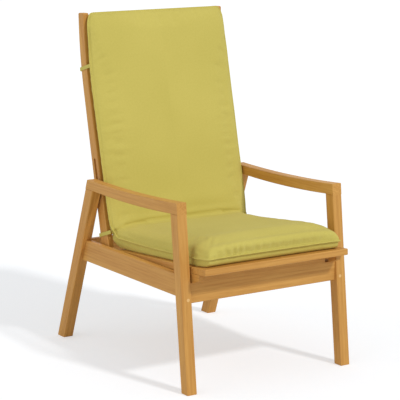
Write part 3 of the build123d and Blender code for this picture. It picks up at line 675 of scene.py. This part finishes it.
def gather_lines():
    """Each fold of the cloth as a line: start, end, half width and height over the cloth"""
    lines = []
    for x, height, lean in FRONT_GATHERS:
        low = seat_point(x * MM, GATHER_LOW[0] + front_pull(x * MM), SEAT_SEAM_HEIGHT + GATHER_LOW[1])
        high = seat_point((x + lean) * MM, GATHER_HIGH[0], SEAT_SEAM_HEIGHT + GATHER_HIGH[1])
        lines.append((low, high, GATHER_HALF_WIDTH, height * MM))
    edge = BACK_HALF_WIDTH - BACK_CREASE_INSET
    for side, distance, reach, height, fall in BACK_CREASES:
        forward = post_half_depth(distance * MM) + BACK_SEAM_STAND
        outer = back_point(side * edge, distance * MM, forward + BACK_CREASE_OUTER)
        inner = back_point(side * (edge - reach * MM), (distance - fall) * MM, forward + BACK_CREASE_INNER)
        lines.append((outer, inner, BACK_CREASE_HALF_WIDTH, height * MM))
    return lines


def crumple_cushion(cushion):
    """Moves the cloth in and out along its gathers and creases, the fold, the front and the seam"""
    places, outward = coordinates(cushion)
    move = np.zeros(len(places))
    for start, end, half_width, height in gather_lines():
        away, share = distance_to_line(places, start, end)
        fade = np.sin(pi * np.clip(HIDDEN_SHARE + (1 - HIDDEN_SHARE) * share, 0, 1)) ** FADE_POWER
        move += height * fade * mound(away, 0, half_width)
    from_fold, from_seam = fold_distance(places), seam_distance(places)
    setback, height = seat_places(places)
    from_ridge = np.hypot(setback - FRONT_PULL, height - FRONT_RIDGE)
    on_seat = 1 - fold_share(places)
    middle = 1 - side_share(places[:, 0]) ** 4
    above = ramp(height - seat_seam_height(setback), -SEAM_WIDTH / 2, SEAM_WIDTH / 2)
    # Each swell or hollow: its height, middle and width in mm, what these are measured from, and its share
    swells = [
        (-6, 0, 5, from_fold, 1),  # crease of the fold
        (6, 16, 11, from_fold, middle),  # foot of the back, which hangs over the crease
        (4, 45, 24, from_fold, middle),  # fullness of the back over its foot
        (-9, -16, 20, from_fold, on_seat * middle),  # hollow of the seat before the crease
        (5, 80, 32, setback, 1),  # fullness of the seat behind its front
        (8, 0, 14, from_ridge, middle),  # ridge along the top of the front
        (3.5, 30, 14, from_seam, on_seat * above),  # fullness over the seat's seam
        (-2.6, 6, 3.5, from_seam, 1),  # stitched hollow along the welt
        (-3.5, 10, 7, from_seam, on_seat * (1 - above)),  # hollow under the seat's welt
    ]
    for swell, place, width, distance, share in swells:
        move += swell * MM * share * mound(distance, place * MM, width * MM)
    move *= 1 - rest_share(outward)
    move_points(cushion, places + outward * move[:, None])


def lay_out_cloth(cushion):
    """Gives the cushion's cloth a flat layout in metres, so that its weave follows the pads"""
    places, _ = coordinates(cushion)
    setback, height = seat_places(places)
    from_hinge = places - np.array(HINGE)
    climb, stand = from_hinge @ BACK_UP, from_hinge @ BACK_AHEAD
    on_back = fold_share(places)
    along = (setback + height) * (1 - on_back) + (HINGE_SETBACK + climb + stand) * on_back
    rise = height * (1 - on_back) + stand * on_back
    across = places[:, 0] + np.sign(places[:, 0]) * rise
    layer = cushion.data.uv_layers.new(name="cloth")
    corners = np.zeros(len(cushion.data.loops), dtype=int)
    cushion.data.loops.foreach_get("vertex_index", corners)
    flat = np.stack([across[corners], along[corners]], axis=1)
    layer.data.foreach_set("uv", flat.ravel())


def blend_at_fold(piece):
    """Bakes the piece's placement into its mesh, so that it keeps its place with no transform of its own"""
    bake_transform(piece)


def place_in_log(number):
    """Where in the log a board is cut: along it, and off its heart in two directions"""
    return (number * LOG_STEP % 1 - 0.5, HEART_OFFSET + HEART_STEP * (number % 3),
            HEART_STEP * (number % 5) - HEART_SIDE)


class ARMCHAIR_OT_timber(Operator):
    """Finish the wooden pieces, each board with its own stretch of grain"""
    bl_idname = "armchair.timber"
    bl_label = "Finish the timber"

    def execute(self, context):
        slats = [name for name in frame["nodes"] if "slat_" in name and "screws" not in name]
        boards = {name: ACROSS for name in (*slats, *CROSS_BOARDS)}
        for name, along in SIDE_BOARDS.items():
            boards[name + "_right"] = boards[name + "_left"] = along
        for number, name in enumerate(sorted(boards)):
            timber = oiled_timber(name + "_timber", boards[name], place_in_log(number))
            set_material(frame["nodes"][name], timber)
        pegs = peg_timber()
        for name in PEGS:
            set_material(frame["nodes"][name], pegs)
        return {"FINISHED"}


class ARMCHAIR_OT_steel(Operator):
    """Finish the bolts, nuts, screws and guide pins"""
    bl_idname = "armchair.steel"
    bl_label = "Finish the steel"

    def execute(self, context):
        steel = brushed_steel()
        for name in STEEL:
            set_material(frame["nodes"][name], steel)
        return {"FINISHED"}


class ARMCHAIR_OT_cushion(Operator):
    """Make the folded cushion: two filled pads of one cloth, gathered at the seam"""
    bl_idname = "armchair.cushion"
    bl_label = "Make the cushion"

    def execute(self, context):
        cushion = pad_copies()
        draw_in_front(cushion)
        fill_cushion(cushion)
        crumple_cushion(cushion)
        lay_out_cloth(cushion)
        finished(cushion, woven_cloth("cushion_cloth", "UV"))
        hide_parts("seat_pad", "back_pad")
        blend_at_fold(cushion)
        return {"FINISHED"}


def welt_path(cushion, width):
    """The seam in short steps, brought onto the cloth and partly sunk in it"""
    loop = seam_loop()
    path = []
    for start, end in zip(loop, loop[1:] + loop[:1]):
        count = max(1, round((end - start).length / WELT_STEP))
        for number in range(count):
            _, place, outward, _ = cushion.closest_point_on_mesh(start.lerp(end, number / count))
            path.append(place + outward * width * WELT_STAND)
    return path


class ARMCHAIR_OT_welt(Operator):
    """Make the thin welt that stands out all along the cushion's seam"""
    bl_idname = "armchair.welt"
    bl_label = "Make the welt"

    def execute(self, context):
        look = context.scene.armchair_cushion
        points = welt_path(bpy.data.objects["cushion"], look.welt)
        bpy.ops.curve.primitive_nurbs_circle_add(location=(0, 0, 0))
        welt = context.object
        line, spline = new_line(welt, "cushion_welt", points, order=4, resolution=3)
        spline.use_cyclic_u = True
        line.bevel_depth = look.welt / 2
        line.bevel_resolution = 2
        only(welt)
        bpy.ops.object.convert(target="MESH")
        finished(welt, woven_cloth("welt_cloth", "Object"))
        blend_at_fold(welt)
        return {"FINISHED"}


def tie_path(distance):
    """Line of a tie round the right post, in its own plane: across, and rearward of the post's middle"""
    look = bpy.context.scene.armchair_ties
    low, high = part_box("back_post_right")
    half, gap = post_half_depth(distance), look.thickness / 2 + TIE_GAP
    outer, inner = high.x + gap, low.x - gap
    front, rear = half + BACK_SEAM_STAND - TIE_ROOT, half + gap + look.slack
    # Laid one by one: from the seam along the outer face, loosely round the rear, and along the inner face
    return [
        (outer - 2 * MM, -front), (outer + 0.6 * MM, -front * 0.6), (outer + 0.9 * MM, -half * 0.2),
        (outer + 0.6 * MM, half * 0.6), (outer + 1.4 * MM, rear - 1.5 * MM),
        (outer - 1.5 * MM, rear + 1.2 * MM), (outer - 8 * MM, rear), (inner + 6 * MM, rear - 1 * MM),
        (inner + 1 * MM, rear - 0.6 * MM), (inner - 0.4 * MM, half - 3 * MM), (inner, half * 0.2),
        (inner, -half),
    ]


def tie_piece(name, side, distance, droop):
    """Flat folded tape round a back post, sewn to the cushion's seam"""
    look = bpy.context.scene.armchair_ties
    bpy.ops.object.select_all(action="DESELECT")
    bpy.ops.curve.primitive_bezier_curve_add(location=(0, 0, 0))
    tie = bpy.context.object
    line, spline = new_line(tie, name, [(*place, 0) for place in tie_path(distance)], order=3, resolution=8)
    spline.use_endpoint_u = True
    line.twist_mode = "Z_UP"
    line.extrude = look.width / 2
    only(tie)
    bpy.ops.object.convert(target="MESH")
    edit_all(tie, bpy.ops.mesh.normals_make_consistent, inside=False)
    apply_modifier(tie, "SOLIDIFY", thickness=look.thickness, offset=0)
    apply_modifier(tie, "BEVEL", width=TIE_EDGE, segments=2, limit_method="ANGLE")
    # From its own plane to the post, which turns a left tie inside out until its faces are turned again
    places, _ = coordinates(tie)
    foot = back_point(0, distance, 0)
    forward = (back_point(0, distance, 1) - foot).normalized()
    up = forward.cross(Vector(ACROSS))
    rearward = places[:, 1:2]
    fall = droop * (rearward + BACK_SEAM_STAND) / BACK_SEAM_STAND
    world = np.array(foot) + places[:, 0:1] * np.array((side, 0, 0)) - rearward * np.array(forward)
    world += (places[:, 2:3] - fall) * np.array(up)
    move_points(tie, world)
    edit_all(tie, bpy.ops.mesh.normals_make_consistent, inside=False)
    return tie


class ARMCHAIR_OT_ties(Operator):
    """Make the four flat ties that hold the cushion to the back posts"""
    bl_idname = "armchair.ties"
    bl_label = "Make the ties"

    def execute(self, context):
        cloth = woven_cloth("tie_cloth", "Object")
        for level, distance, droop in TIES:
            for hand, side in (("right", 1), ("left", -1)):
                node = level + "_tie_" + hand
                tie = tie_piece(node + "_tape", side, distance, droop)
                finished(tie, cloth, body="back")
                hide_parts(node)
        return {"FINISHED"}


class ARMCHAIR_OT_stage(Operator):
    """Set up the pale floor, the even light and the camera"""
    bl_idname = "armchair.stage"
    bl_label = "Set the stage"

    def execute(self, context):
        look = context.scene.armchair_stage
        self.add_floor(look)
        self.add_sky(look)
        self.add_lamp("key", KEY_PLACE, look.key_power, KEY_SPREAD)
        self.add_lamp("side", SIDE_PLACE, look.side_power, SIDE_SPREAD)
        self.add_camera()
        context.scene.view_settings.view_transform = "Standard"
        return {"FINISHED"}

    def add_floor(self, look):
        """Pale paper, which the camera sees nearly white and with a fainter shadow"""
        bpy.ops.mesh.primitive_plane_add(size=FLOOR_SIZE, location=(0, 0, -FLOOR_GAP))
        floor = bpy.context.object
        floor.name = "floor"
        material, tree, output = new_material("floor")
        faint = [look.shadow_share * share for share in look.floor]
        shaded = add(tree, "ShaderNodeBsdfDiffuse", {"Color": (*look.floor, 1)}).outputs[0]
        shadow = add(tree, "ShaderNodeBsdfDiffuse", {"Color": (*faint, 1)}).outputs[0]
        glow = add(tree, "ShaderNodeEmission", {
            "Color": (*look.glow, 1), "Strength": look.glow_power}).outputs[0]
        backdrop = add(tree, "ShaderNodeAddShader", None, {0: shadow, 1: glow}).outputs[0]
        seen = add(tree, "ShaderNodeLightPath").outputs["Is Camera Ray"]
        mixed = add(tree, "ShaderNodeMixShader", None, {0: seen, 1: shaded, 2: backdrop}).outputs[0]
        tree.links.new(mixed, output.inputs["Surface"])
        set_material(floor, material)

    def add_sky(self, look):
        """Even white light all round, and plain white where the camera or a gloss sees past the floor"""
        world = bpy.data.worlds.new("studio")
        world.use_nodes = True
        tree = world.node_tree
        tree.nodes.clear()
        rays = add(tree, "ShaderNodeLightPath").outputs
        clear = add(tree, "ShaderNodeMath", None, {0: rays["Is Camera Ray"], 1: rays["Is Glossy Ray"]},
                    operation="MAXIMUM").outputs[0]
        power = add(tree, "ShaderNodeMapRange", {TO_LOW: look.sky_power, TO_HIGH: 1}, {0: clear}).outputs[0]
        white = (*linear("FFFFFF"), 1)
        sky = add(tree, "ShaderNodeBackground", {"Color": white}, {"Strength": power}).outputs[0]
        add(tree, "ShaderNodeOutputWorld", None, {"Surface": sky})
        bpy.context.scene.world = world

    def add_lamp(self, name, place, power, spread):
        """Lamp with even rays that shine from the side of its place"""
        bpy.ops.object.light_add(type="SUN", location=place)
        lamp = bpy.context.object
        lamp.name = name
        lamp.rotation_euler = Vector(place).to_track_quat("Z", "Y").to_euler()
        lamp.data.energy = power
        lamp.data.angle = radians(spread)

    def add_camera(self):
        """Camera at the photograph's place and angle"""
        bpy.ops.object.camera_add(location=CAMERA_PLACE, rotation=(pi / 2 - CAMERA_DIP, 0, -CAMERA_TURN))
        camera = bpy.context.object
        camera.data.sensor_width = SENSOR_WIDTH
        camera.data.lens = SENSOR_WIDTH * FOCAL_LENGTH / PHOTO_WIDTH
        camera.data.clip_end = 100
        bpy.context.scene.camera = camera


class ARMCHAIR_PT_panel(Panel):
    """Lists the settings and the steps"""
    bl_label = "Outdoor armchair"
    bl_idname = "ARMCHAIR_PT_panel"
    bl_space_type = "VIEW_3D"
    bl_region_type = "UI"
    bl_category = "Armchair"

    def draw(self, context):
        for name in SETTINGS:
            box = self.layout.box()
            settings = getattr(context.scene, name)
            for key in settings.bl_rna.properties.keys():
                if key not in ("rna_type", "name"):
                    box.prop(settings, key)
        for step in STEPS:
            self.layout.operator(step.bl_idname)


SETTINGS = {
    "armchair_timber": TimberSettings,
    "armchair_cloth": ClothSettings,
    "armchair_cushion": CushionSettings,
    "armchair_ties": TieSettings,
    "armchair_stage": StageSettings,
}
STEPS = (ARMCHAIR_OT_stage, ARMCHAIR_OT_timber, ARMCHAIR_OT_steel, ARMCHAIR_OT_cushion,
         ARMCHAIR_OT_welt, ARMCHAIR_OT_ties)


def register():
    for kind in (*SETTINGS.values(), *STEPS, ARMCHAIR_PT_panel):
        bpy.utils.register_class(kind)
    for name, kind in SETTINGS.items():
        setattr(bpy.types.Scene, name, PointerProperty(type=kind))


def unregister():
    for name in SETTINGS:
        delattr(bpy.types.Scene, name)
    for kind in reversed((*SETTINGS.values(), *STEPS, ARMCHAIR_PT_panel)):
        bpy.utils.unregister_class(kind)


def main():
    register()
    bpy.ops.armchair.stage()
    bpy.ops.armchair.timber()
    bpy.ops.armchair.steel()
    bpy.ops.armchair.cushion()
    bpy.ops.armchair.welt()
    bpy.ops.armchair.ties()


if __name__ == "__main__":
    main()
